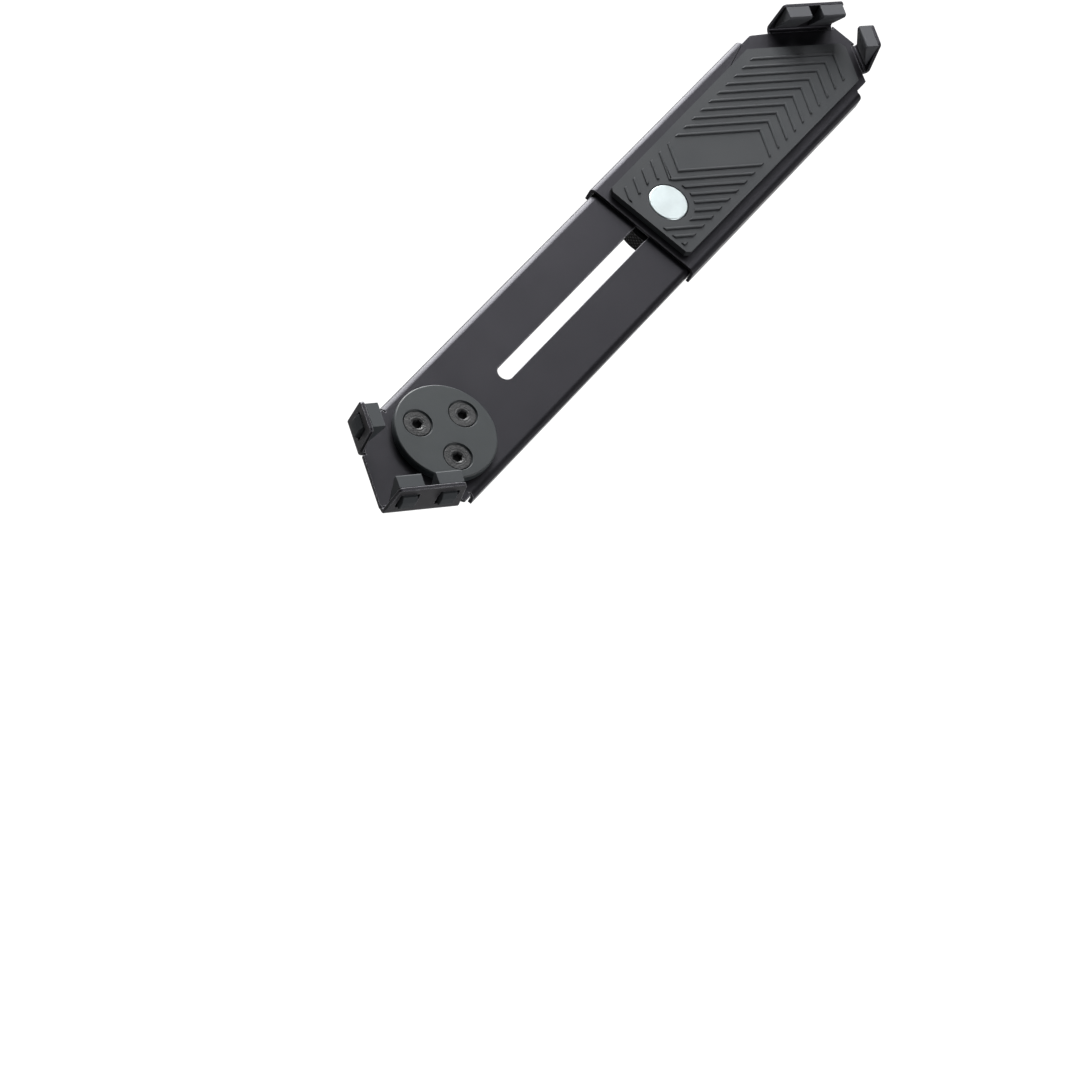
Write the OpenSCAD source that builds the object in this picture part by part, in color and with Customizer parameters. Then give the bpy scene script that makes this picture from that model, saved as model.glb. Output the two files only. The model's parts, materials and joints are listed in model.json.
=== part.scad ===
// Extending corner-grip arm for a flat device, carried on a tripod head.
// Frame: origin at the centre of the rear mounting face, +X along the arm
// towards the sliding end, +Z towards the device that the arm holds.

/* [Pose] */
// Where the clamp bolt sits along the arm
clamp_x = 171.2; // [120:0.1:179]

/* [Corner] */
// Angle between the arm and the wide clips' edge
corner_angle = 36.2; // [34:0.1:38]
// Height of the clip walls above the sheet
clip_h = 17; // [12:0.5:20]
// Depth of each rubber wedge at its top
wedge_depth = 6; // [4:0.5:8]
// Length of each rubber wedge along its clip
wedge_len = 11.4; // [8:0.1:11.4]

/* [Base channel] */
// Outer width of the base channel
base_w = 54; // [50:0.5:54]
// Sheet thickness of the base channel
base_t = 1.8; // [1.5:0.1:2]
// Depth of the base channel's side flanges from the sheet's face
base_flange = 6; // [5:0.5:8]
// Far end of the base channel
base_end = 186; // [184:0.5:188]
// Width of the long slot
slot_w = 7; // [6.8:0.1:7.4]
// Near end of the slot, at its centre
slot_x0 = 46.7; // [46:0.1:50]
// Far end of the slot, at its centre
slot_x1 = 179.6; // [172:0.1:180]

/* [Hub] */
// Diameter of the hub disc
disc_d = 45; // [40:0.5:46]
// Thickness of the hub disc
disc_h = 4; // [3.5:0.1:5]
// Radius of the circle of hub screws
screw_r = 12.4; // [11:0.1:13]
// Diameter of the boss behind the sheet
boss_d = 44; // [38:0.5:44]
// Height of the boss behind the sheet
boss_h = 12.2; // [12:0.1:12.2]

/* [Sleeve] */
// Sheet thickness of the sleeve
sleeve_t = 1.5; // [1.2:0.1:1.5]
// Gap on each side between the base channel and the sleeve
side_gap = 0.3; // [0.3:0.05:0.5]
// Near end of the sleeve
sleeve_x0 = 152.6; // [150:0.1:155]
// Thickness of the rubber pad
pad_t = 3; // [2:0.1:3.2]
// Height of the pad's ribs
rib_h = 0.6; // [0.4:0.1:0.8]
// Spacing of the ribs along the arm
rib_pitch = 6.98; // [6:0.01:8]
// Width of each rib
rib_w = 1.4; // [1:0.1:1.6]

/* [Clamp] */
// Diameter of the clamp bolt's head
head_d = 18; // [16:0.5:18]
// Outer diameter of the clamp knob
knob_d = 36; // [30:0.5:36]
// Number of grooves each way in the knob's diamond knurl
knurl_n = 36; // [24:1:48]

/* [Hidden] */
$fn = 96;
e = 0.01;

// Heights of the stack, from the rear mounting face
zs = 14;                    // base sheet's device face
zl = zs + 0.3;              // underside of the glide strips
zu = zs + 0.7;              // sleeve sheet's underside
zt = zu + sleeve_t;         // sleeve sheet's device face
za = zt + 0.2;              // top of the adhesive layer
zp = za + pad_t;            // top of the pad's flat face
zf = zs - base_flange;      // lower edge of the side flanges
base_ro = base_t + 1.2;     // outer bend radius
sleeve_ro = sleeve_t + 1.2;
sleeve_w = base_w + 2 * (side_gap + sleeve_t);

// Corner lines, in the frame turned by corner_angle: a runs along the wide
// clip, b runs along the narrow clip
low_b = -33.4;              // outer face of the lower wide clip
low_a = -40.2;              // outer face of the lower narrow clip
up_b = 190.6;               // outer face of the upper wide clip
up_a = 262.4;               // outer face of the upper narrow clip
function ab(a, b) = [a * cos(corner_angle) + b * sin(corner_angle),
                     b * cos(corner_angle) - a * sin(corner_angle)];
module corner() rotate([0, 0, -corner_angle]) children();

// ---- shared shapes ----

// A channel's cross-section: flat sheet, two rounded bends, two flanges.
// x is across the arm and y is height.
module channel_section(w, t, ro, top, low) {
  ri = ro - t;
  difference() {
    union() {
      translate([-w / 2 + ro, low]) square([w - 2 * ro, top - low]);
      translate([-w / 2, low]) square([w, top - ro - low]);
      for (s = [-1, 1]) translate([s * (w / 2 - ro), top - ro]) circle(r = ro);
    }
    translate([-w / 2 + ro, low - 1]) square([w - 2 * ro, top - t - low + 1]);
    translate([-w / 2 + t, low - 1]) square([w - 2 * t, top - ro - low + 1]);
    for (s = [-1, 1]) translate([s * (w / 2 - ro), top - ro]) circle(r = ri);
  }
}
// The channel along the arm from x0 to x1
module channel(x0, x1, w, t, ro, top, low)
  translate([x0, 0, 0]) rotate([90, 0, 90]) linear_extrude(x1 - x0)
    channel_section(w, t, ro, top, low);

// A clip folded up from a sheet. It runs along x from 0 to len, its outer face
// is at y = 0, and the sheet it grows from lies towards -y with its underside
// at z = 0. in0 and in1 lean its two ends inwards; holes lists the hole centres.
module clip(len, t, ro, h, in0, in1, holes) {
  ri = ro - t;
  r = 1.6;
  top = t + h;
  difference() {
    union() {
      intersection() {
        translate([0, -t, ro]) cube([len, t, top - ro]);
        translate([0, e, 0]) rotate([90, 0, 0]) linear_extrude(t + 2 * e) union() {
          polygon([[0, ro - 1], [len, ro - 1], [len, ro], [len - in1, top - r], [in0, top - r], [0, ro]]);
          translate([in0 + r, top - 2 * r]) square([len - in0 - in1 - 2 * r, 2 * r]);
          translate([in0 + r, top - r]) circle(r = r);
          translate([len - in1 - r, top - r]) circle(r = r);
        }
      }
      rotate([90, 0, 90]) linear_extrude(len) {
        intersection() {
          translate([-ro, ro]) difference() { circle(r = ro); circle(r = ri); }
          translate([-ro, 0]) square([ro, ro]);
        }
        translate([-ro - 2.5, 0]) square([2.5, t]);
      }
    }
    for (x = holes) translate([x - 4.4, -t - 1, top - 12.6]) cube([8.8, t + 2, 8.9]);
  }
}

// A rubber wedge that hangs on a clip: flat on top, undercut to nothing at
// the sheet, with a plug that fills the clip's hole and stands out of it.
// It is centred on x = 0 and the clip's outer face is at y = 0.
module wedge(t, h) {
  top = t + h;
  union() {
    rotate([90, 0, 90]) translate([0, 0, -wedge_len / 2]) linear_extrude(wedge_len)
      polygon([[-t, t + 2.2], [-t, top - 0.1], [-t - wedge_depth + 0.5, top - 0.1],
               [-t - wedge_depth, top - 0.6], [-t - wedge_depth, top - 2.0], [-t - 0.7, t + 2.2]]);
    rotate([90, 0, 90]) translate([0, 0, -3.3]) linear_extrude(6.6)
      polygon([[-t - 0.5, top - 12.2], [1.0, top - 12.2], [1.6, top - 11.4], [1.6, top - 7],
               [0.6, top - 4.4], [-t - 0.5, top - 4.4]]);
  }
}

// A V of the rib pattern with its corner at p: the long leg runs back to the
// left edge, the short leg runs back to the right edge
module rib_v(p, h) translate([p[0], p[1], 0]) rotate([0, 0, -corner_angle])
  union() {
    translate([-62, -rib_w / 2, 0]) cube([62 + rib_w / 2, rib_w, h]);
    translate([-rib_w / 2, -30, 0]) cube([rib_w, 30, h]);
  }

// ---- base body ----

module base_channel() color([0.09, 0.09, 0.1]) difference() {
  union() {
    difference() {
      channel(-13.6, base_end, base_w, base_t, base_ro, zs, zf);
      translate([-15, base_w / 2 - base_ro - 0.1, zf - 1]) cube([6, 10, 20]);
      for (s = [-1, 1]) translate([base_end, s * base_w / 2, zf - 1])
        rotate([0, 0, 45]) cube([5, 5, 40], center = true);
    }
    // the lower corner's sheet, with relief notches at its bends
    translate([0, 0, zs - base_t]) linear_extrude(base_t)
      polygon([ab(-38, low_b + base_ro + 0.8), ab(-3.4, low_b + base_ro + 0.8), [-18.2, -25.2], [-14.2, -25.2],
               [-14.2, -base_w / 2 + base_ro + 0.1], [-6, -base_w / 2 + base_ro + 0.1],
               [-6, base_w / 2 - base_ro - 0.1], [-9.6, base_w / 2 - base_ro - 0.1], [-9.6, 25.8],
               ab(-28, 11.5), ab(low_a + base_ro + 0.8, 11.5), ab(low_a + base_ro + 0.8, -5.2), ab(-38, -5.2)]);
    corner() translate([-37.6 + 33.6, low_b, zs - base_t]) rotate([0, 0, 180])
      clip(33.6, base_t, base_ro, clip_h, 1.6, 1.6, [8.1, 25.9]);
    corner() translate([low_a, -4.6, zs - base_t]) rotate([0, 0, 90])
      clip(15.6, base_t, base_ro, clip_h, 0.4, 0.4, [8.0]);
  }
  // long slot for the clamp bolt
  translate([slot_x0, -slot_w / 2, zs - base_t - 1]) cube([slot_x1 - slot_x0, slot_w, base_t + 2]);
  for (x = [slot_x0, slot_x1]) translate([x, 0, zs - base_t - 1]) cylinder(d = slot_w, h = base_t + 2);
  // clearance holes for the hub screws
  for (k = [0:2]) rotate([0, 0, 120 * k]) translate([screw_r, 0, zs - base_t - 1]) cylinder(r = 3.3, h = base_t + 2);
}

module hub_disc() color([0.16, 0.17, 0.17]) difference() {
  translate([0, 0, zs]) rotate_extrude($fn = 128)
    polygon([[0, 0], [disc_d / 2 - 0.3, 0], [disc_d / 2, 0.3], [disc_d / 2, disc_h - 0.5],
             [disc_d / 2 - 0.5, disc_h], [0, disc_h]]);
  for (k = [0:2]) rotate([0, 0, 120 * k]) translate([screw_r, 0, zs])
    rotate_extrude() polygon([[0, -1], [3.4, -1], [3.4, disc_h - 3.65], [6.55, disc_h - 0.5], [6.55, disc_h + 1],
                              [0, disc_h + 1]]);
}

// M6 countersunk screws with hexagon sockets
module hub_screws() color([0.12, 0.12, 0.12]) for (k = [0:2]) rotate([0, 0, 120 * k])
  translate([screw_r, 0, zs + disc_h - 0.6]) difference() {
    union() {
      rotate_extrude() polygon([[0, -14.6], [2.4, -14.6], [2.95, -14], [2.95, -3.4], [6.0, -0.35], [6.0, -0.1],
                                [5.9, 0], [0, 0]]);
    }
    translate([0, 0, -2.6]) cylinder(r = 2.31, h = 4, $fn = 6);
  }

module mount_boss() color([0.1, 0.1, 0.1]) difference() {
  rotate_extrude($fn = 128)
    polygon([[4.83, 0], [boss_d / 2 - 0.8, 0], [boss_d / 2, 0.8], [boss_d / 2, boss_h - 0.4],
             [boss_d / 2 - 0.4, boss_h], [0, boss_h], [0, 10.2], [4.83, 10.2]]);
  for (k = [0:2]) rotate([0, 0, 120 * k]) translate([screw_r, 0, 2]) cylinder(r = 3, h = boss_h);
}

// Threaded bush that takes the tripod screw
module reducer_bush() color([0.72, 0.73, 0.74]) difference() {
  rotate_extrude() polygon([[3.175, 0], [4.8, 0], [4.8, 9.6], [3.175, 9.6]]);
  // coin slot across its mouth
  cube([12, 1.2, 1.6], center = true);
}

module lower_wedge_outer() color([0.2, 0.21, 0.21]) corner()
  translate([-4 - 25.9, low_b, zs - base_t]) rotate([0, 0, 180]) wedge(base_t, clip_h);
module lower_wedge_inner() color([0.2, 0.21, 0.21]) corner()
  translate([-4 - 8.1, low_b, zs - base_t]) rotate([0, 0, 180]) wedge(base_t, clip_h);
module lower_wedge_side() color([0.2, 0.21, 0.21]) corner()
  translate([low_a, -4.6 + 8.0, zs - base_t]) rotate([0, 0, 90]) wedge(base_t, clip_h);

// ---- sliding body ----

module sleeve_channel() color([0.09, 0.09, 0.1]) difference() {
  union() {
    difference() {
      channel(sleeve_x0, 294.4, sleeve_w, sleeve_t, sleeve_ro, zt, zf);
      translate([273, sleeve_w / 2 - sleeve_ro - 0.1, zf - 1]) cube([30, 10, 20]);
      // the sheet's tip is cut along the wide clip's line
      corner() translate([150, up_b - sleeve_ro - 1.2, zf - 1]) cube([160, 60, 20]);
    }
    // the tip's sheet, with relief notches at its bends
    translate([0, 0, zu]) linear_extrude(sleeve_t)
      polygon([[262, 25.9], [273.6, 25.9], [273.6, 26.5], [279.6, 26.5], ab(219.4, up_b - sleeve_ro - 0.8),
               ab(253, up_b - sleeve_ro - 0.8), [316, 3], [316, -9.6], ab(260.4, 178.4),
               ab(up_a - sleeve_ro - 0.8, 178.4), ab(up_a - sleeve_ro - 0.8, 162.8), [302.6, -25.2],
               [294.9, -25.2], [294.9, -25.9], [262, -25.9]]);
    corner() translate([220.2, up_b, zu]) clip(32.2, sleeve_t, sleeve_ro, clip_h, 1.2, 0.3, [7.9, 25.0]);
    corner() translate([up_a, 163.2 + 14.6, zu]) rotate([0, 0, -90])
      clip(14.6, sleeve_t, sleeve_ro, clip_h, 0.3, 2.4, [6.6]);
  }
  // square hole for the clamp bolt's neck
  translate([clamp_x, 0, zu]) cube([8.1, 8.1, 10], center = true);
}

module glide(s) translate([sleeve_x0 + 2, s * 17 - 4, zl]) cube([276 - sleeve_x0, 8, zu - zl]);
module glide_strip_left() color([0.75, 0.75, 0.72]) glide(1);
module glide_strip_right() color([0.75, 0.75, 0.72]) glide(-1);

// Outline shared by the pad and the adhesive under it, drawn in by d
module pad_outline(d) difference() {
  polygon([[155.8 + d, -22 + d], [155.8 + d, 22 - d], [269.4, 22.6 - d], ab(251.6, 177.3 - d), ab(253.5 - d, 175.4),
           ab(253.5 - d, 157.2)]);
  for (s = [-1, 1]) translate([155.8 + d, s * (22 - d)]) rotate([0, 0, 45]) square([2.4, 2.4], center = true);
}

module pad_adhesive() color([0.5, 0.5, 0.5]) difference() {
  translate([0, 0, zt]) linear_extrude(za - zt) pad_outline(1);
  translate([clamp_x, 0, zt - 1]) cylinder(d = head_d + 1, h = 4);
}

module grip_pad() color([0.22, 0.23, 0.23]) difference() {
  union() {
    translate([0, 0, za]) linear_extrude(pad_t) pad_outline(0);
    intersection() {
      translate([0, 0, zp - 0.1]) difference() {
        union() {
          for (k = [0:9]) rib_v([299.9 - rib_pitch * k, -6.5], rib_h + 0.1);
          for (k = [0:9]) translate([188.6 - rib_pitch * k, 6.4, 0]) rotate([0, 0, 180]) rib_v([0, 0], rib_h + 0.1);
        }
        // the ribs stop short of the bolt's head
        translate([clamp_x, 0, -1]) cylinder(r = 12, h = 4);
        corner() translate([clamp_x * cos(corner_angle) - 15.6, clamp_x * sin(corner_angle) - 11.1, -1]) cube([15.6, 16.3, 4]);
      }
      translate([157.8, -18.1, zp - 1]) cube([150, 36.2, 4]);
    }
  }
  translate([clamp_x, 0, zt]) cylinder(d = head_d + 0.6, h = 20);
}

// Turned head, square neck and threaded shank
module clamp_bolt() color([0.85, 0.87, 0.87]) translate([clamp_x, 0, 0]) difference() {
  union() {
    translate([0, 0, zt]) rotate_extrude()
      polygon([[0, 0], [head_d / 2, 0], [head_d / 2, pad_t - 0.1], [head_d / 2 - 0.4, pad_t + 0.3], [0, pad_t + 0.3]]);
    translate([-4, -4, zu]) cube([8, 8, sleeve_t + 1]);
    translate([0, 0, 1.7]) cylinder(r = 3, h = zu);
  }
  // groove for the retaining clip
  translate([0, 0, 2.2]) difference() { cylinder(r = 5, h = 0.8); translate([0, 0, -1]) cylinder(r = 2.5, h = 3); }
}

module retaining_clip() color([0.6, 0.6, 0.6]) translate([clamp_x, 0, 2.25]) difference() {
  cylinder(r = 5, h = 0.7);
  translate([0, 0, -1]) cylinder(r = 2.55, h = 3);
  translate([0, -1.8, -1]) cube([10, 3.6, 3]);
}

module upper_wedge_outer() color([0.2, 0.21, 0.21]) corner()
  translate([220.2 + 25.0, up_b, zu]) wedge(sleeve_t, clip_h);
module upper_wedge_inner() color([0.2, 0.21, 0.21]) corner()
  translate([220.2 + 7.9, up_b, zu]) wedge(sleeve_t, clip_h);
module upper_wedge_side() color([0.2, 0.21, 0.21]) corner()
  translate([up_a, 177.8 - 6.6, zu]) rotate([0, 0, -90]) wedge(sleeve_t, clip_h);

// ---- clamp ----

module washer(ri, ro, z0, z1) translate([clamp_x, 0, z0]) difference() {
  cylinder(r = ro, h = z1 - z0);
  translate([0, 0, -1]) cylinder(r = ri, h = z1 - z0 + 2);
}
module nylon_washer() color([0.8, 0.8, 0.75]) washer(3.25, 11, 11.1, 11.9);
module steel_washer() color([0.65, 0.66, 0.67]) washer(3.25, 10, 10.1, 11.1);

module clamp_knob() color([0.06, 0.06, 0.06]) translate([clamp_x, 0, 0]) difference() {
  rotate_extrude($fn = 128)
    polygon([[0, 0.4], [knob_d / 2 - 1.2, 0.4], [knob_d / 2, 1.6], [knob_d / 2, 10], [knob_d / 2 - 1.2, 11.2],
             [12, 11.2], [12, 9.9], [0, 9.9]]);
  translate([0, 0, 5]) cylinder(r = 4.6, h = 8);
  translate([0, 0, -1]) cylinder(r = 7, h = 6.6);
  // knurl: grooves along the rim
  for (k = [0:knurl_n - 1]) rotate([0, 0, 360 / knurl_n * k])
    translate([knob_d / 2 + 0.25, 0, -1]) rotate([0, 0, 45]) translate([-0.6, -0.6, 0]) cube([1.2, 1.2, 14]);
}

// Threaded insert held in the knob
module knob_insert() color([0.7, 0.55, 0.25]) translate([clamp_x, 0, 5.6]) difference() {
  cylinder(r = 4.6, h = 4.3);
  translate([0, 0, -1]) cylinder(r = 3.05, h = 8);
}

module knob_cap() color([0.08, 0.08, 0.08]) translate([clamp_x, 0, 0.4]) rotate_extrude()
  polygon([[0, 0], [6.7, 0], [6.95, 0.25], [6.95, 1.0], [0, 1.0]]);

base_channel();
hub_disc();
hub_screws();
mount_boss();
reducer_bush();
lower_wedge_outer();
lower_wedge_inner();
lower_wedge_side();
sleeve_channel();
glide_strip_left();
glide_strip_right();
pad_adhesive();
grip_pad();
clamp_bolt();
retaining_clip();
upper_wedge_outer();
upper_wedge_inner();
upper_wedge_side();
nylon_washer();
steel_washer();
clamp_knob();
knob_insert();
knob_cap();
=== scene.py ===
import json
import math

import bmesh
import bpy
import numpy as np
from mathutils import Matrix, Vector


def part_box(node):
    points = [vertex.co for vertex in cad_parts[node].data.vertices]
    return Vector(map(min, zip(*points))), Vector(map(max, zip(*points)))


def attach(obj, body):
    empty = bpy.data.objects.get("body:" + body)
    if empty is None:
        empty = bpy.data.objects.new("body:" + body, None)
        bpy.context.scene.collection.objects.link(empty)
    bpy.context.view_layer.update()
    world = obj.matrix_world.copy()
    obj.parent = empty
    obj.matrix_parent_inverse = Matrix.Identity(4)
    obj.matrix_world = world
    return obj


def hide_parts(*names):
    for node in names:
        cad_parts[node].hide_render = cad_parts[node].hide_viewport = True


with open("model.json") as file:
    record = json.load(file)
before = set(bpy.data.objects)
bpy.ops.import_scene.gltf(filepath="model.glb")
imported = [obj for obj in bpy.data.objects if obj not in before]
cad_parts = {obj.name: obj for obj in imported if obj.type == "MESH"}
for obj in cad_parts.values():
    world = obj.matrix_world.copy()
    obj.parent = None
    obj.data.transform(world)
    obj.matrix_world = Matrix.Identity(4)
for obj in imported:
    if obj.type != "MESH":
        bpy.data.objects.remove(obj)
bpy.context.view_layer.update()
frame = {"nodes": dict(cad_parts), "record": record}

MM = 0.001
BODY = {n: b for b, ns in frame["record"]["behaviour"]["bodies"].items() for n in ns}
ALPHA = math.radians(36.2)  # the corner frame's turn: a runs along the wide clips, b along the narrow ones
TO_CORNER = Matrix.Rotation(ALPHA, 3, "Z")


# ---------------------------------------------------------------- materials

class Nodes:
    """A small builder for one material's node tree."""

    def __init__(self, name):
        self.m = bpy.data.materials.new(name)
        self.m.use_nodes = True
        self.t = self.m.node_tree
        self.t.nodes.clear()
        self.out = self.t.nodes.new("ShaderNodeOutputMaterial")
        self.bsdf = self.t.nodes.new("ShaderNodeBsdfPrincipled")
        self.t.links.new(self.bsdf.outputs[0], self.out.inputs[0])
        self.co = self.t.nodes.new("ShaderNodeTexCoord").outputs["Object"]

    def put(self, socket, value):
        if isinstance(value, bpy.types.NodeSocket):
            self.t.links.new(value, socket)
        else:
            socket.default_value = value

    def set(self, **values):
        for k, v in values.items():
            self.put(self.bsdf.inputs[k.replace("_", " ")], v)

    def noise(self, scale, detail=2.0, rough=0.5, at=None, stretch=None):
        n = self.t.nodes.new("ShaderNodeTexNoise")
        n.inputs["Scale"].default_value = scale
        n.inputs["Detail"].default_value = detail
        n.inputs["Roughness"].default_value = rough
        src = at or self.co
        if stretch:
            mp = self.t.nodes.new("ShaderNodeMapping")
            mp.inputs["Scale"].default_value = stretch
            self.t.links.new(src, mp.inputs["Vector"])
            src = mp.outputs[0]
        self.t.links.new(src, n.inputs["Vector"])
        return n.outputs["Fac"]

    def cells(self, scale, feature="F1", at=None):
        n = self.t.nodes.new("ShaderNodeTexVoronoi")
        n.feature = feature
        n.inputs["Scale"].default_value = scale
        self.t.links.new(at or self.co, n.inputs["Vector"])
        return n.outputs["Distance"]

    def math(self, op, a, b=0.0, c=None, clamp=False):
        n = self.t.nodes.new("ShaderNodeMath")
        n.operation = op
        n.use_clamp = clamp
        self.put(n.inputs[0], a)
        self.put(n.inputs[1], b)
        if c is not None:
            self.put(n.inputs[2], c)
        return n.outputs[0]

    def remap(self, v, a, b, c, d):
        n = self.t.nodes.new("ShaderNodeMapRange")
        n.clamp = True
        self.put(n.inputs[0], v)
        for i, x in enumerate((a, b, c, d)):
            n.inputs[i + 1].default_value = x
        return n.outputs[0]

    def mix(self, fac, a, b):
        n = self.t.nodes.new("ShaderNodeMix")
        n.data_type = "RGBA"
        self.put(n.inputs[0], fac)
        self.put(n.inputs[6], a)
        self.put(n.inputs[7], b)
        return n.outputs[2]

    def xyz(self):
        n = self.t.nodes.new("ShaderNodeSeparateXYZ")
        self.t.links.new(self.co, n.inputs[0])
        return n.outputs[0], n.outputs[1], n.outputs[2]

    def radius(self, cx, cy):
        """Distance from the upright line through (cx, cy)."""
        x, y, _ = self.xyz()
        dx, dy = self.math("SUBTRACT", x, cx), self.math("SUBTRACT", y, cy)
        return self.math("SQRT", self.math("ADD", self.math("MULTIPLY", dx, dx), self.math("MULTIPLY", dy, dy)))

    def edge(self, radius):
        """1 where the surface turns sharply within radius, 0 on the flats."""
        b = self.t.nodes.new("ShaderNodeBevel")
        b.samples = 6
        b.inputs["Radius"].default_value = radius
        g = self.t.nodes.new("ShaderNodeNewGeometry")
        d = self.t.nodes.new("ShaderNodeVectorMath")
        d.operation = "DOT_PRODUCT"
        self.t.links.new(b.outputs[0], d.inputs[0])
        self.t.links.new(g.outputs["True Normal"], d.inputs[1])
        return self.remap(d.outputs["Value"], 0.993, 0.94, 0.0, 1.0)

    def bump(self, height, distance, strength=1.0, normal=None):
        n = self.t.nodes.new("ShaderNodeBump")
        n.inputs["Strength"].default_value = strength
        n.inputs["Distance"].default_value = distance
        self.put(n.inputs["Height"], height)
        if normal is not None:
            self.t.links.new(normal, n.inputs["Normal"])
        return n.outputs[0]


def rgb(r, g, b):
    return (r, g, b, 1.0)


def powder_coat(name, base, dark, rough=(0.34, 0.44), level=0.5, edge_highlight=None):
    """Fine satin powder coat: a soft leathery grain, a slow drift of tone, a few duller patches, and, where asked, a
    painted highlight along its edges.
    """
    k = Nodes(name)
    drift = k.noise(28, 3, 0.55)
    grain = k.noise(2600, 2, 0.5)
    orange = k.noise(700, 2, 0.45)
    fine = k.remap(grain, 0.35, 0.65, 0, 1)
    tone = k.math("MULTIPLY_ADD", fine, 0.3, k.remap(drift, 0.3, 0.7, 0, 0.7), clamp=True)
    k.set(Base_Color=k.mix(tone, rgb(*dark), rgb(*base)))
    patch = k.noise(55, 4, 0.6)
    k.set(Roughness=k.math("ADD", k.remap(patch, 0.3, 0.7, rough[0], rough[1]), k.remap(grain, 0.3, 0.7, -0.03, 0.03)))
    if edge_highlight:
        # painted highlight: the cut edges are painted paler in patches, standing in for the thin light lines they catch
        rim = k.edge(0.6 * MM)
        rim = k.math("MULTIPLY", rim, k.remap(k.noise(160, 3, 0.6), 0.3, 0.6, 0.45, 1.0))
        k.set(Base_Color=k.mix(rim, k.mix(tone, rgb(*dark), rgb(*base)), rgb(*edge_highlight)))
    k.bsdf.inputs["Specular IOR Level"].default_value = level
    k.bsdf.inputs["Specular Tint"].default_value = rgb(0.88, 0.87, 1.0)
    n1 = k.bump(orange, 0.012 * MM, 0.5)
    k.set(Normal=k.bump(grain, 0.012 * MM, 0.6, n1))
    return k.m


def anodised(name, base, dark, rough=(0.42, 0.52), level=0.5, centre=None, edge_highlight=None):
    """Bead-blasted and anodised: very fine tooth, with a trace of turning rings where it has a centre."""
    k = Nodes(name)
    tooth = k.noise(5200, 2, 0.6)
    cloud = k.noise(60, 4, 0.6)
    tone = k.math("MULTIPLY_ADD", k.remap(tooth, 0.3, 0.7, 0, 1), 0.4, k.remap(cloud, 0.3, 0.7, 0, 0.6), clamp=True)
    body = k.mix(tone, rgb(*dark), rgb(*base))
    # painted highlight: when an edge colour is given, the edges are painted in it, standing in for the light line along
    # the rim
    k.set(Base_Color=k.mix(k.edge(0.3 * MM), body, rgb(*edge_highlight)) if edge_highlight else body)
    k.set(Roughness=k.math("ADD", k.remap(cloud, 0.3, 0.7, rough[0], rough[1]), k.remap(tooth, 0.3, 0.7, -0.04, 0.04)))
    k.bsdf.inputs["Specular IOR Level"].default_value = level
    n = k.bump(tooth, 0.010 * MM, 0.7)
    if centre:
        r = k.radius(*centre)
        rings = k.math("SINE", k.math("MULTIPLY", r, 2 * math.pi / (0.28 * MM)))
        n = k.bump(rings, 0.0012 * MM, 0.5, n)
    k.set(Normal=n)
    return k.m


def rubber(name, base, dark, rough=(0.62, 0.78), level=0.5, painted_far_light=None):
    """Matt moulded rubber: a sandy tooth with rare pale specks of dust."""
    k = Nodes(name)
    tooth = k.noise(3400, 3, 0.6)
    skin = k.noise(900, 2, 0.5)
    cloud = k.noise(45, 4, 0.55)
    speck = k.remap(k.cells(420), 0.0, 0.09, 1.0, 0.0)
    tone = k.math("MULTIPLY_ADD", k.remap(tooth, 0.3, 0.7, 0, 1), 0.45, k.remap(cloud, 0.3, 0.7, 0, 0.55), clamp=True)
    body = k.mix(tone, rgb(*dark), rgb(*base))
    dust = k.math("MULTIPLY", speck, k.remap(k.noise(130, 2, 0.5), 0.56, 0.66, 0.0, 0.16))
    if painted_far_light:
        # painted light: the rubber at the far end, on the upper wedges, is painted paler for the brighter light it
        # catches there
        body = k.mix(k.remap(k.xyz()[0], 0.10, 0.28, 0.0, 1.0), body, k.mix(tone, rgb(*(c * 0.8 for c in painted_far_light)), rgb(*painted_far_light)))
    k.set(Base_Color=k.mix(dust, body, rgb(0.22, 0.22, 0.21)))
    k.set(Roughness=k.math("ADD", k.remap(cloud, 0.3, 0.7, rough[0], rough[1]), k.remap(tooth, 0.3, 0.7, -0.05, 0.05)))
    k.bsdf.inputs["Specular IOR Level"].default_value = level
    n1 = k.bump(skin, 0.02 * MM, 0.4)
    k.set(Normal=k.bump(tooth, 0.018 * MM, 0.7, n1))
    return k.m


def turned_steel(name, base, rough, pitch, centre, depth=0.004, stain=None):
    """Metal faced on a lathe: rings round a centre, with tone and gloss that drift slowly."""
    k = Nodes(name)
    r = k.radius(*centre)
    wobble = k.math("MULTIPLY", k.noise(90, 2, 0.5), 0.06 * MM)
    at = k.math("ADD", r, wobble)
    rings = k.math("SINE", k.math("MULTIPLY", at, 2 * math.pi / (pitch * MM)))
    wide = k.math("SINE", k.math("MULTIPLY", at, 2 * math.pi / (pitch * 5.3 * MM)))
    both = k.math("MULTIPLY_ADD", wide, 0.6, rings)
    cloud = k.noise(140, 4, 0.6)
    k.set(Base_Color=k.mix(k.remap(cloud, 0.3, 0.7, 0, 1), rgb(*(c * 0.9 for c in base)), rgb(*base)))
    k.set(Roughness=k.math("ADD", k.remap(cloud, 0.3, 0.7, rough - 0.03, rough + 0.04),
                           k.math("MULTIPLY", both, 0.012)))
    k.set(Metallic=1.0)
    n1 = k.bump(both, depth * MM, 0.5)
    k.set(Normal=k.bump(k.noise(4200, 2, 0.6), 0.004 * MM, 0.5, n1))
    return k.m


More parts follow.
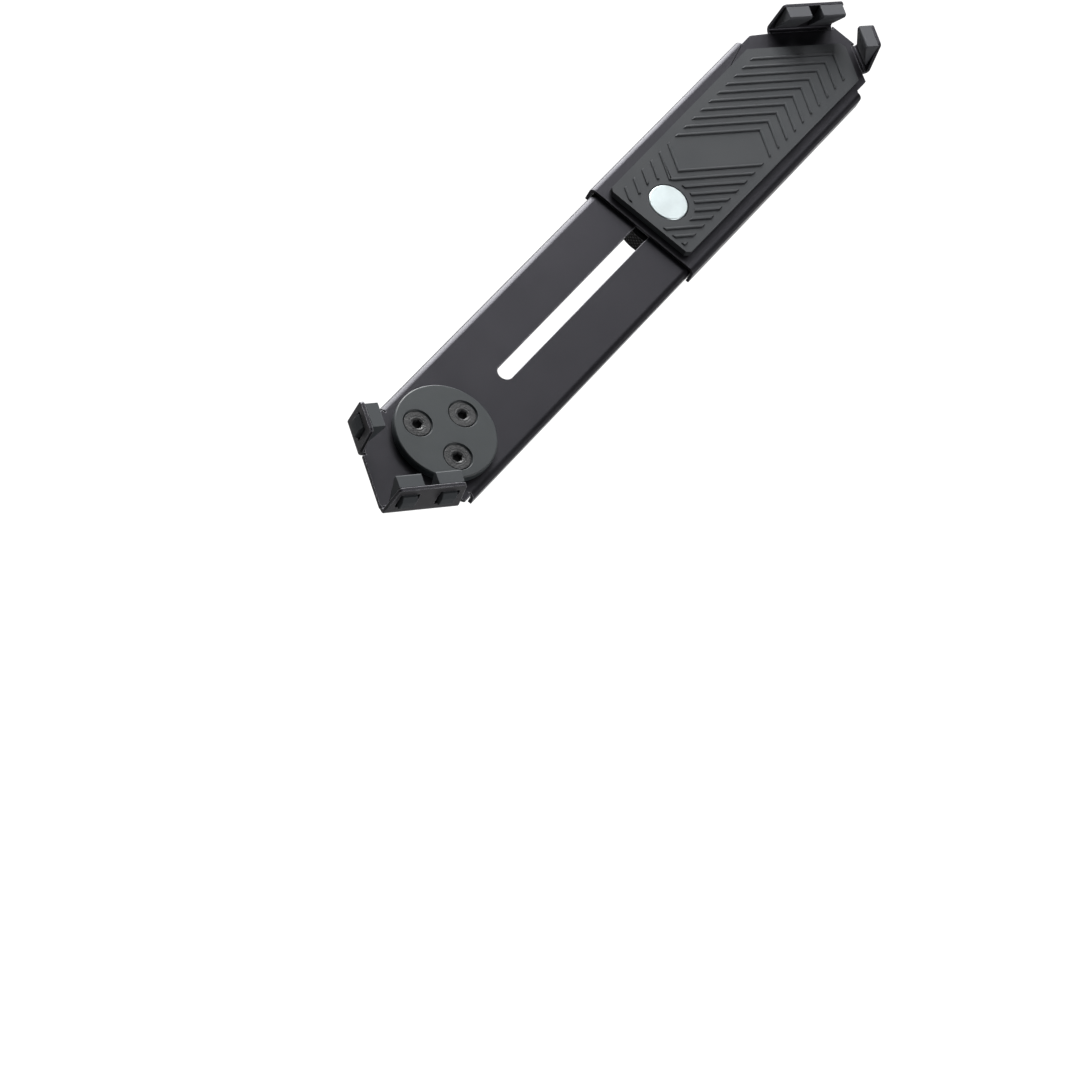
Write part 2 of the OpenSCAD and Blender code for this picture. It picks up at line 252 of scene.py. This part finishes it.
def plastic(name, base, dark, rough=(0.4, 0.52), level=0.5, grain=1800, depth=0.02, crest=None):
    """Moulded plastic with a spark-eroded grain."""
    k = Nodes(name)
    pits = k.cells(grain)
    cloud = k.noise(70, 3, 0.5)
    tone = k.math("MULTIPLY_ADD", k.remap(pits, 0.0, 0.6, 0, 1), 0.5, k.remap(cloud, 0.3, 0.7, 0, 0.5), clamp=True)
    body = k.mix(tone, rgb(*dark), rgb(*base))
    if crest:
        # painted highlight: the knurl's crests are painted paler, standing in for the glints they catch
        crest_glint = k.remap(k.radius(*CLAMP), (crest - 0.13) * MM, (crest - 0.02) * MM, 0.0, 1.0)
        body = k.mix(crest_glint, body, rgb(0.13, 0.13, 0.14))
    k.set(Base_Color=body)
    k.set(Roughness=k.remap(cloud, 0.3, 0.7, rough[0], rough[1]))
    k.bsdf.inputs["Specular IOR Level"].default_value = level
    n1 = k.bump(pits, depth * MM, 0.5)
    k.set(Normal=k.bump(k.noise(grain * 2.2, 2, 0.6), 0.008 * MM, 0.5, n1))
    return k.m


clamp_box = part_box("clamp_bolt")
CLAMP = ((clamp_box[0].x + clamp_box[1].x) / 2, (clamp_box[0].y + clamp_box[1].y) / 2)

# the last colour given to the base, sleeve and disc finishes is a painted highlight for their edges
M_BASE = powder_coat("powder_coat_base", (0.0115, 0.0108, 0.0128), (0.0085, 0.0080, 0.0096), edge_highlight=(0.50, 0.50, 0.53))
M_SLEEVE = powder_coat("powder_coat_sleeve", (0.0115, 0.0108, 0.0128), (0.0085, 0.0080, 0.0096), rough=(0.36, 0.46), edge_highlight=(0.15, 0.15, 0.165))
M_DISC = anodised("anodised_disc", (0.050, 0.059, 0.064), (0.040, 0.048, 0.052), centre=(0.0, 0.0), edge_highlight=(0.17, 0.18, 0.19))
M_BOSS = anodised("anodised_boss", (0.020, 0.020, 0.021), (0.014, 0.014, 0.015), centre=(0.0, 0.0))
M_SCREW = plastic("black_oxide", (0.075, 0.077, 0.080), (0.010, 0.010, 0.011), rough=(0.36, 0.48), grain=1150, depth=0.2)
M_BOLT = turned_steel("turned_bolt", (0.63, 0.70, 0.71), 0.38, 0.24, CLAMP)
M_ZINC = turned_steel("zinc_washer", (0.58, 0.59, 0.60), 0.34, 0.5, CLAMP)
M_BUSH = turned_steel("bush_steel", (0.66, 0.67, 0.68), 0.28, 0.22, (0.0, 0.0))
M_CLIP = turned_steel("spring_clip", (0.36, 0.36, 0.38), 0.36, 0.4, CLAMP)
M_BRASS = turned_steel("brass", (0.72, 0.52, 0.24), 0.30, 0.3, CLAMP)
M_PAD = rubber("rubber_pad", (0.053, 0.0575, 0.063), (0.041, 0.0445, 0.049))
# the paler colour given for the far end is painted light on the upper wedges
M_WEDGE = rubber("rubber_wedge", (0.078, 0.087, 0.095), (0.062, 0.070, 0.077), painted_far_light=(0.103, 0.107, 0.118))
M_KNOB = plastic("knob_plastic", (0.0055, 0.0055, 0.006), (0.0035, 0.0035, 0.004), rough=(0.30, 0.40), level=0.35)
# the knurl's crests carry a painted highlight
M_KNURL = plastic("knob_knurl", (0.0055, 0.0055, 0.006), (0.0035, 0.0035, 0.004), rough=(0.30, 0.40), level=0.35,
                  crest=(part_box("clamp_knob")[1].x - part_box("clamp_knob")[0].x) / 2 / MM)
M_NYLON = plastic("white_nylon", (0.62, 0.62, 0.58), (0.52, 0.52, 0.48), rough=(0.42, 0.55), grain=1200, depth=0.01)
M_FILM = plastic("adhesive_film", (0.30, 0.30, 0.29), (0.22, 0.22, 0.21), rough=(0.5, 0.65), grain=900, depth=0.02)


# ---------------------------------------------------------------- mesh helpers

def cad_bmesh(node, merge=4e-6):
    """A welded copy of a CAD node's mesh, with its flat faces joined up."""
    bm = bmesh.new()
    bm.from_mesh(frame["nodes"][node].data)
    bmesh.ops.remove_doubles(bm, verts=bm.verts[:], dist=merge)
    bmesh.ops.dissolve_limit(bm, angle_limit=math.radians(0.6), verts=bm.verts[:], edges=bm.edges[:])
    bmesh.ops.recalc_face_normals(bm, faces=bm.faces[:])
    return bm


def fresh_mesh(name, bm):
    """A mesh with only bm's points and faces."""
    bm.verts.index_update()
    me = bpy.data.meshes.new(name)
    me.from_pydata([v.co[:] for v in bm.verts], [], [[v.index for v in f.verts] for f in bm.faces])
    me.update()
    bm.free()
    return me


def finish_mesh(ob, smooth=32, weighted=True):
    """Applies the modifiers, smooths the gentle edges and keeps flat faces flat."""
    bm = bmesh.new()
    bm.from_mesh(ob.data)
    bmesh.ops.remove_doubles(bm, verts=bm.verts[:], dist=2e-6)
    bmesh.ops.dissolve_degenerate(bm, edges=bm.edges[:], dist=1e-6)
    bm.to_mesh(ob.data)
    bm.free()
    if weighted:
        w = ob.modifiers.new("flat faces", "WEIGHTED_NORMAL")
        w.keep_sharp = True
        w.weight = 60
    ob.data.polygons.foreach_set("use_smooth", [True] * len(ob.data.polygons))
    ob.data.set_sharp_from_angle(angle=math.radians(smooth))
    deps = bpy.context.evaluated_depsgraph_get()
    deps.update()
    me = bpy.data.meshes.new_from_object(ob.evaluated_get(deps))
    old, ob.data = ob.data, me
    ob.modifiers.clear()
    bpy.data.meshes.remove(old)
    ob.data.name = ob.name


def add(name, me):
    ob = bpy.data.objects.new(name, me)
    bpy.context.scene.collection.objects.link(ob)
    return ob


def apply_modifiers(ob):
    deps = bpy.context.evaluated_depsgraph_get()
    deps.update()
    me = bpy.data.meshes.new_from_object(ob.evaluated_get(deps))
    old, ob.data = ob.data, me
    ob.modifiers.clear()
    bpy.data.meshes.remove(old)


def join_in(ob, node, material, body=None):
    """The piece rides with the body of the CAD node it stands for, takes the given finish and hides that node."""
    ob.data.materials.clear()
    ob.data.materials.append(material)
    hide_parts(node)
    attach(ob, body or BODY[node])
    return ob


def soften(node, name, material, width, segments=2, angle=35, first=None, smooth=32, clamp=True):
    """A CAD shape with its edges rounded: the sheet's cut edges, mouldings and turned corners."""
    bm = cad_bmesh(node)
    if first:
        first(bm)
    ob = add(name, fresh_mesh(name, bm))
    if width > 0:
        b = ob.modifiers.new("edges", "BEVEL")
        b.width = width * MM
        b.segments = segments
        b.limit_method = "ANGLE"
        b.angle_limit = math.radians(angle)
        b.use_clamp_overlap = clamp
        b.miter_outer = "MITER_ARC"
        apply_modifiers(ob)
    finish_mesh(ob, smooth)
    return join_in(ob, node, material)


def fillet(points, n=4):
    """Rounds a closed outline. points are (x, y, radius)."""
    out = []
    m = len(points)
    for i in range(m):
        p = Vector(points[i][:2])
        r = points[i][2]
        if r <= 0:
            out.append((p.x, p.y))
            continue
        a, b = Vector(points[i - 1][:2]) - p, Vector(points[(i + 1) % m][:2]) - p
        la, lb = a.length, b.length
        a.normalize()
        b.normalize()
        half = math.acos(max(-1, min(1, a.dot(b)))) / 2
        d = min(r / math.tan(half), la * 0.49, lb * 0.49)
        r = d * math.tan(half)
        c = p + (a + b).normalized() * (r / math.sin(half))
        s, e = p + a * d - c, p + b * d - c
        turn = s.angle_signed(e) if s.length and e.length else 0
        for j in range(n + 1):
            t = -turn * j / n
            q = Matrix.Rotation(t, 2) @ s
            out.append((c.x + q.x, c.y + q.y))
    return out


def revolve(profile, segments, centre, radius_of=None, phase=0.0):
    """Turns a closed outline of (r, z), in mm, round an upright line. radius_of(i, angle, r, z) may change a point."""
    verts, faces = [], []
    m = len(profile)
    for j in range(segments):
        t = phase + 2 * math.pi * j / segments
        for i, (r, z) in enumerate(profile):
            q = radius_of(i, t, r, z) if radius_of else r
            verts.append((centre[0] + q * MM * math.cos(t), centre[1] + q * MM * math.sin(t), z * MM))
    for j in range(segments):
        k = (j + 1) % segments
        for i in range(m):
            h = (i + 1) % m
            faces.append((j * m + i, k * m + i, k * m + h, j * m + h))
    return verts, faces


def closed_mesh(name, verts, faces):
    bm = bmesh.new()
    vs = [bm.verts.new(v) for v in verts]
    for f in faces:
        try:
            bm.faces.new([vs[i] for i in f])
        except ValueError:
            pass
    bmesh.ops.remove_doubles(bm, verts=bm.verts[:], dist=1e-7)
    bmesh.ops.recalc_face_normals(bm, faces=bm.faces[:])
    return fresh_mesh(name, bm)


# ---------------------------------------------------------------- folded sheets

soften("base_channel", "base_sheet", M_BASE, 0.28, 3, clamp=False)
soften("sleeve_channel", "sleeve_sheet", M_SLEEVE, 0.26, 3, clamp=False)

# ---------------------------------------------------------------- hub

soften("hub_disc", "hub_plate", M_DISC, 0.16, 3)
soften("mount_boss", "rear_boss", M_BOSS, 0.22, 3)
soften("reducer_bush", "tripod_bush", M_BUSH, 0.14, 2)

SCREW_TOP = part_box("hub_screws")[1].z / MM
SEG = 72


def screw_mesh(name, cx, cy, turn):
    """A countersunk screw with a hexagon socket, a chamfered mouth and a shallow ring on its head."""
    ring = [("hex", 2.31, -2.6), ("hex", 2.31, -0.34), ("round", 2.72, -0.05), ("round", 2.8, 0.0)]
    ring += [("round", r, z) for r, z in ((3.3, 0.0), (3.42, -0.07), (3.62, -0.07), (3.74, 0.0), (5.62, 0.0),
                                          (5.76, -0.02), (5.88, -0.08), (5.96, -0.18), (6.0, -0.35), (2.97, -3.4),
                                          (2.95, -3.5), (2.95, -14.0), (2.4, -14.6))]
    verts, faces = [], []
    for kind, r, z in ring:
        for j in range(SEG):
            t = 2 * math.pi * j / SEG
            q = r
            if kind == "hex":
                q = r * math.cos(math.pi / 6) / math.cos((t + math.pi / 6) % (math.pi / 3) - math.pi / 6)
            verts.append((cx + q * MM * math.cos(t + turn), cy + q * MM * math.sin(t + turn), (SCREW_TOP + z) * MM))
    for i in range(len(ring) - 1):
        for j in range(SEG):
            k = (j + 1) % SEG
            faces.append((i * SEG + j, i * SEG + k, (i + 1) * SEG + k, (i + 1) * SEG + j))
    for start, z in ((0, -2.95), ((len(ring) - 1) * SEG, -14.6)):
        c = len(verts)
        verts.append((cx, cy, (SCREW_TOP + z) * MM))
        for j in range(SEG):
            faces.append((start + j, start + (j + 1) % SEG, c))
    return closed_mesh(name, verts, faces)


for k in range(3):
    t = math.radians(120 * k)
    name = f"hub_screw_{k + 1}"
    ob = add(name, screw_mesh(name, 12.4 * MM * math.cos(t), 12.4 * MM * math.sin(t), (0.35, 0.9, 0.1)[k]))
    finish_mesh(ob, 28)
    join_in(ob, "hub_screws", M_SCREW)

# ---------------------------------------------------------------- rubber wedges


def prism(name, outline, x0, x1, bevel_ends, segments=4):
    """An outline of (y, z) in mm drawn along x, with its end rims rounded."""
    bm = bmesh.new()
    n = len(outline)
    a = [bm.verts.new((x0, y, z)) for y, z in outline]
    b = [bm.verts.new((x1, y, z)) for y, z in outline]
    ends = [bm.faces.new(a), bm.faces.new(b[::-1])]
    for i in range(n):
        bm.faces.new((a[i], a[(i + 1) % n], b[(i + 1) % n], b[i]))
    bmesh.ops.recalc_face_normals(bm, faces=bm.faces[:])
    rims = [e for f in ends for e in f.edges]
    bmesh.ops.bevel(bm, geom=rims, offset=bevel_ends, segments=segments, profile=0.5, affect="EDGES",
                    clamp_overlap=True)
    return fresh_mesh(name, bm)


def wedge(node, name, out_axis, sheet_t):
    """A moulded wedge with its plug, built in the clip's own frame: x along the clip, y outwards, z up."""
    co = [TO_CORNER @ v.co / MM for v in frame["nodes"][node].data.vertices]
    low = Vector((min(c[i] for c in co) for i in range(3)))
    high = Vector((max(c[i] for c in co) for i in range(3)))
    axis, sign = out_axis
    along = 1 - axis
    face = (high[axis] - 1.6) if sign > 0 else (low[axis] + 1.6)  # the clip's outer face
    mid = (low[along] + high[along]) / 2
    top = high.z  # top of the wedge
    half = (high[along] - low[along]) / 2
    bottom = low.z
    t = sheet_t
    plug_top, plug_low = top + 0.1 - 4.4, top + 0.1 - 12.2
    body = fillet([(-t, bottom, 0), (-t, top, 0.25), (-t - 6, top, 0.75), (-t - 6, top - 1.95, 0.7),
                   (-t - 0.75, bottom, 0.3)], 5)
    ob = add(name, prism(name, body, -half, half, 0.42, 4))
    plug = fillet([(-t - 0.6, plug_low, 0), (1.15, plug_low, 0.35), (1.6, plug_low + 0.9, 0.4), (1.6, top - 6.9, 0.5),
                   (0.55, plug_top, 0.35), (-t - 0.6, plug_top, 0)], 4)
    pl = add(name + "_plug", prism(name + "_plug", plug, -3.3, 3.3, 0.3, 3))
    u = ob.modifiers.new("plug", "BOOLEAN")
    u.operation = "UNION"
    u.solver = "EXACT"
    u.object = pl
    apply_modifiers(ob)
    bpy.data.objects.remove(pl)
    # from the clip's frame to the row frame
    y = Vector((0, 0, 0))
    y[axis] = sign
    z = Vector((0, 0, 1))
    x = y.cross(z)
    origin = Vector((0, 0, 0))
    origin[axis] = face
    origin[along] = mid
    to_row = TO_CORNER.transposed()
    m = Matrix((to_row @ x, to_row @ y, z)).transposed().to_4x4()
    m.translation = to_row @ origin
    ob.data.transform(Matrix.Scale(MM, 4) @ m)
    finish_mesh(ob, 40)
    return join_in(ob, node, M_WEDGE)


wedge("lower_wedge_outer", "wedge_low_outer", (1, -1), 1.8)
wedge("lower_wedge_inner", "wedge_low_inner", (1, -1), 1.8)
wedge("lower_wedge_side", "wedge_low_side", (0, -1), 1.8)
wedge("upper_wedge_outer", "wedge_top_outer", (1, 1), 1.5)
wedge("upper_wedge_inner", "wedge_top_inner", (1, 1), 1.5)
wedge("upper_wedge_side", "wedge_top_side", (0, 1), 1.5)

# ---------------------------------------------------------------- ribbed pad

PAD_FACE = 19.4 * MM  # the pad's flat face, under its ribs


def pad_edges(bm):
    """Rounds the pad's rim, the bolt's opening and, one rib at a time, the ribs' crowns."""
    crown = PAD_FACE + 0.6 * MM

    def level(e, z):
        return len(e.link_faces) == 2 and e.is_convex and all(abs(v.co.z - z) < 2e-5 for v in e.verts)

    rim, mouth = [], []
    for e in bm.edges:
        if level(e, PAD_FACE):
            mid = (e.verts[0].co + e.verts[1].co) / 2
            near = math.hypot(mid.x - CLAMP[0], mid.y - CLAMP[1]) < 10.5 * MM
            (mouth if near else rim).append(e)
    bmesh.ops.bevel(bm, geom=rim, offset=0.75 * MM, segments=4, profile=0.5, affect="EDGES", clamp_overlap=True)
    bmesh.ops.bevel(bm, geom=[e for e in mouth if e.is_valid], offset=0.15 * MM, segments=2, profile=0.5,
                    affect="EDGES", clamp_overlap=True)
    while True:
        tops = [f for f in bm.faces if f.normal.z > 0.99 and abs(f.calc_center_median().z - crown) < 2e-5
                and all(level(e, crown) and e.calc_face_angle(0) > 1.2 for e in f.edges)]
        if not tops:
            break
        bmesh.ops.bevel(bm, geom=list(tops[0].edges), offset=0.5 * MM, segments=5, profile=0.5, affect="EDGES",
                        clamp_overlap=True)


soften("grip_pad", "ribbed_pad", M_PAD, 0.0, 1, first=pad_edges, smooth=40)

# ---------------------------------------------------------------- clamp

soften("clamp_bolt", "bolt", M_BOLT, 0.1, 2)
soften("retaining_clip", "spring_ring", M_CLIP, 0.08, 2)
soften("steel_washer", "washer_steel", M_ZINC, 0.12, 2)
soften("nylon_washer", "washer_nylon", M_NYLON, 0.12, 2)
soften("knob_insert", "insert", M_BRASS, 0.12, 2)


def knob_mesh(name):
    """The clamp knob, with a diamond knurl round its rim."""
    low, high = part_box("clamp_knob")
    z0, z1, R = low.z / MM, high.z / MM, (high.x - low.x) / 2 / MM
    outline = [(4.6, z0 + 5.2, 0.0), (4.6, z1 - 1.3, 0.25), (12.0, z1 - 1.3, 0.3), (12.0, z1, 0.3), (R - 1.3, z1, 0.35),
               (R, z1 - 1.25, 0.3)]
    lower = [(R, z0 + 1.25, 0.3), (R - 1.3, z0, 0.35), (14.6, z0, 0.2), (14.1, z0 + 0.45, 0.2), (9.6, z0 + 0.45, 0.2),
             (9.1, z0, 0.2), (7.0, z0, 0.25), (7.0, z0 + 5.2, 0.0)]
    pts = fillet(outline + lower, 3)
    # the straight wall is cut into fine steps for the knurl
    out = []
    for i, p in enumerate(pts):
        out.append((*p, False))
        q = pts[(i + 1) % len(pts)]
        if abs(p[0] - R) < 0.02 and abs(q[0] - R) < 0.02 and abs(p[1] - q[1]) > 4:
            steps = 50
            for j in range(1, steps):
                out.append((p[0] + (q[0] - p[0]) * j / steps, p[1] + (q[1] - p[1]) * j / steps, True))
    around, pitch, depth = 108, 1.06, 0.36

    def tri(v):
        v = v % 1.0
        return 1 - abs(2 * v - 1)

    def knurl(i, t, r, z):
        if not out[i][2]:
            return r
        edge = min(1.0, (z1 - 1.25 - z) / 0.5, (z - z0 - 1.25) / 0.5)
        u = around * t / (2 * math.pi)
        peak = min(tri((u + z / pitch) / 1.0 * 0.5), tri((u - z / pitch) / 1.0 * 0.5))
        return r - depth * max(0.0, edge) * (1 - min(1.0, peak * 1.25))

    verts, faces = revolve([p[:2] for p in out], 648, CLAMP, knurl)
    return closed_mesh(name, verts, faces)


ob = add("knurled_knob", knob_mesh("knurled_knob"))
finish_mesh(ob, 34, weighted=False)
join_in(ob, "clamp_knob", M_KNURL)
soften("knob_cap", "knob_cover", M_KNOB, 0.15, 3)

# hidden flat pieces keep their CAD shape
for node, material in (("pad_adhesive", M_FILM), ("glide_strip_left", M_NYLON), ("glide_strip_right", M_NYLON)):
    me = frame["nodes"][node]
    if not me.material_slots:
        me.data.materials.append(material)
    for s in me.material_slots:
        s.material = material

# ---------------------------------------------------------------- stage, light and camera

FLOOR_Z = -2.7


def backdrop():
    """A pale floor well below the object, which hangs in the light as in a cut-out picture."""
    bm = bmesh.new()
    n = 24
    grid = [[bm.verts.new((-12 + 26 * i / n, -12 + 24 * j / n, FLOOR_Z)) for j in range(n + 1)] for i in range(n + 1)]
    for i in range(n):
        for j in range(n):
            bm.faces.new((grid[i][j], grid[i + 1][j], grid[i + 1][j + 1], grid[i][j + 1]))
    ob = add("floor", fresh_mesh("floor", bm))
    k = Nodes("pale_floor")
    x, y, _ = k.xyz()
    dx, dy = k.math("SUBTRACT", x, 2.06), k.math("SUBTRACT", y, 0.10)
    r = k.math("SQRT", k.math("ADD", k.math("MULTIPLY", dx, dx), k.math("MULTIPLY", dy, dy)))
    k.set(Base_Color=k.mix(k.noise(3, 3, 0.5), rgb(0.30, 0.30, 0.30), rgb(0.31, 0.31, 0.31)))
    k.set(Roughness=0.9)
    k.bsdf.inputs["Specular IOR Level"].default_value = 0.2
    k.bsdf.inputs["Emission Color"].default_value = rgb(1, 1, 1)
    path = k.t.nodes.new("ShaderNodeLightPath")
    lit = k.remap(r, 1.95, 2.8, 1.1, 0.16)
    k.set(Emission_Strength=k.math("MAXIMUM", lit, k.math("MULTIPLY", path.outputs["Is Camera Ray"], 1.0)))
    ob.data.materials.append(k.m)


backdrop()

CENTRE = Vector((0.135, 0.0, 0.015))


def softbox(name, direction, distance, size, radiance, colour=(1, 1, 1), centre=CENTRE):
    d = Vector(direction).normalized()
    data = bpy.data.lights.new(name, "AREA")
    data.shape = "RECTANGLE"
    data.size, data.size_y = size
    data.energy = radiance * math.pi * size[0] * size[1]
    data.color = colour
    ob = bpy.data.objects.new(name, data)
    bpy.context.scene.collection.objects.link(ob)
    ob.location = centre + d * distance
    ob.rotation_euler = d.to_track_quat("Z", "Y").to_euler()
    ob.visible_camera = False
    return ob


softbox("key", (0.57, 0.60, 0.54), 1.0, (0.62, 0.52), 11.0)
softbox("rim", (0.60, 0.78, 0.04), 1.5, (1.2, 0.95), 9.0)
softbox("edge", (-0.12, -0.87, 0.46), 1.2, (0.9, 0.10), 14.0)
softbox("panel", (0.60, 0.08, 0.79), 0.8, (0.46, 0.46), 0.95, centre=Vector((0.335, 0.0, 0.015)))

world = bpy.data.worlds.new("studio")
world.use_nodes = True
bpy.context.scene.world = world
wt = world.node_tree
wt.nodes.clear()


def w_node(kind, **inputs):
    n = wt.nodes.new(kind)
    for key, value in inputs.items():
        n.inputs[int(key[1:])].default_value = value
    return n


# the room: a pale wall patch above and beyond the object, a pale horizon there, dim elsewhere
w_out = w_node("ShaderNodeOutputWorld")
w_co = w_node("ShaderNodeTexCoord")
w_sep = w_node("ShaderNodeSeparateXYZ")
w_dot = w_node("ShaderNodeVectorMath", _1=Vector((0.60, 0.10, 0.79)).normalized())
w_dot.operation = "DOT_PRODUCT"
w_patch = w_node("ShaderNodeMapRange", _1=0.70, _2=0.95, _3=0.05, _4=0.2)
w_patch.interpolation_type = "SMOOTHSTEP"
w_low = w_node("ShaderNodeMapRange", _1=0.22, _2=0.0, _3=0.0, _4=0.9)
w_far = w_node("ShaderNodeMapRange", _1=-0.1, _2=0.5, _3=0.12, _4=1.0)
w_mul = w_node("ShaderNodeMath")
w_mul.operation = "MULTIPLY"
w_max = w_node("ShaderNodeMath")
w_max.operation = "MAXIMUM"
w_room = w_node("ShaderNodeBackground", _0=rgb(1, 1, 1))
w_seen = w_node("ShaderNodeBackground", _0=rgb(1, 1, 1))
w_path = w_node("ShaderNodeLightPath")
w_mix = w_node("ShaderNodeMixShader")
wt.links.new(w_co.outputs["Generated"], w_sep.inputs[0])
wt.links.new(w_co.outputs["Generated"], w_dot.inputs[0])
wt.links.new(w_dot.outputs["Value"], w_patch.inputs[0])
wt.links.new(w_sep.outputs[2], w_low.inputs[0])
wt.links.new(w_sep.outputs[0], w_far.inputs[0])
wt.links.new(w_low.outputs[0], w_mul.inputs[0])
wt.links.new(w_far.outputs[0], w_mul.inputs[1])
wt.links.new(w_mul.outputs[0], w_max.inputs[0])
wt.links.new(w_patch.outputs[0], w_max.inputs[1])
wt.links.new(w_max.outputs[0], w_room.inputs[1])
wt.links.new(w_path.outputs["Is Camera Ray"], w_mix.inputs[0])
wt.links.new(w_room.outputs[0], w_mix.inputs[1])
wt.links.new(w_seen.outputs[0], w_mix.inputs[2])
wt.links.new(w_mix.outputs[0], w_out.inputs[0])

RIGHT = Vector((0.5454687, -0.7680669, 0.3354655))
DOWN = Vector((-0.5817701, -0.6350972, -0.5081290))
AHEAD = Vector((0.6033303, 0.0820047, -0.7932640))
cam_data = bpy.data.cameras.new("camera")
cam_data.sensor_width = 36.0
cam_data.sensor_fit = "HORIZONTAL"
cam_data.lens = 176.477
cam_data.clip_start = 0.05
cam_data.clip_end = 60.0
cam = bpy.data.objects.new("camera", cam_data)
bpy.context.scene.collection.objects.link(cam)
place = Matrix((RIGHT, -DOWN, -AHEAD)).transposed().to_4x4()
place.translation = Vector((-1.29742683, -0.22930009, 1.70797736))
cam.matrix_world = place
bpy.context.scene.camera = cam

bpy.context.scene.view_settings.view_transform = "Standard"
bpy.context.scene.view_settings.look = "None"
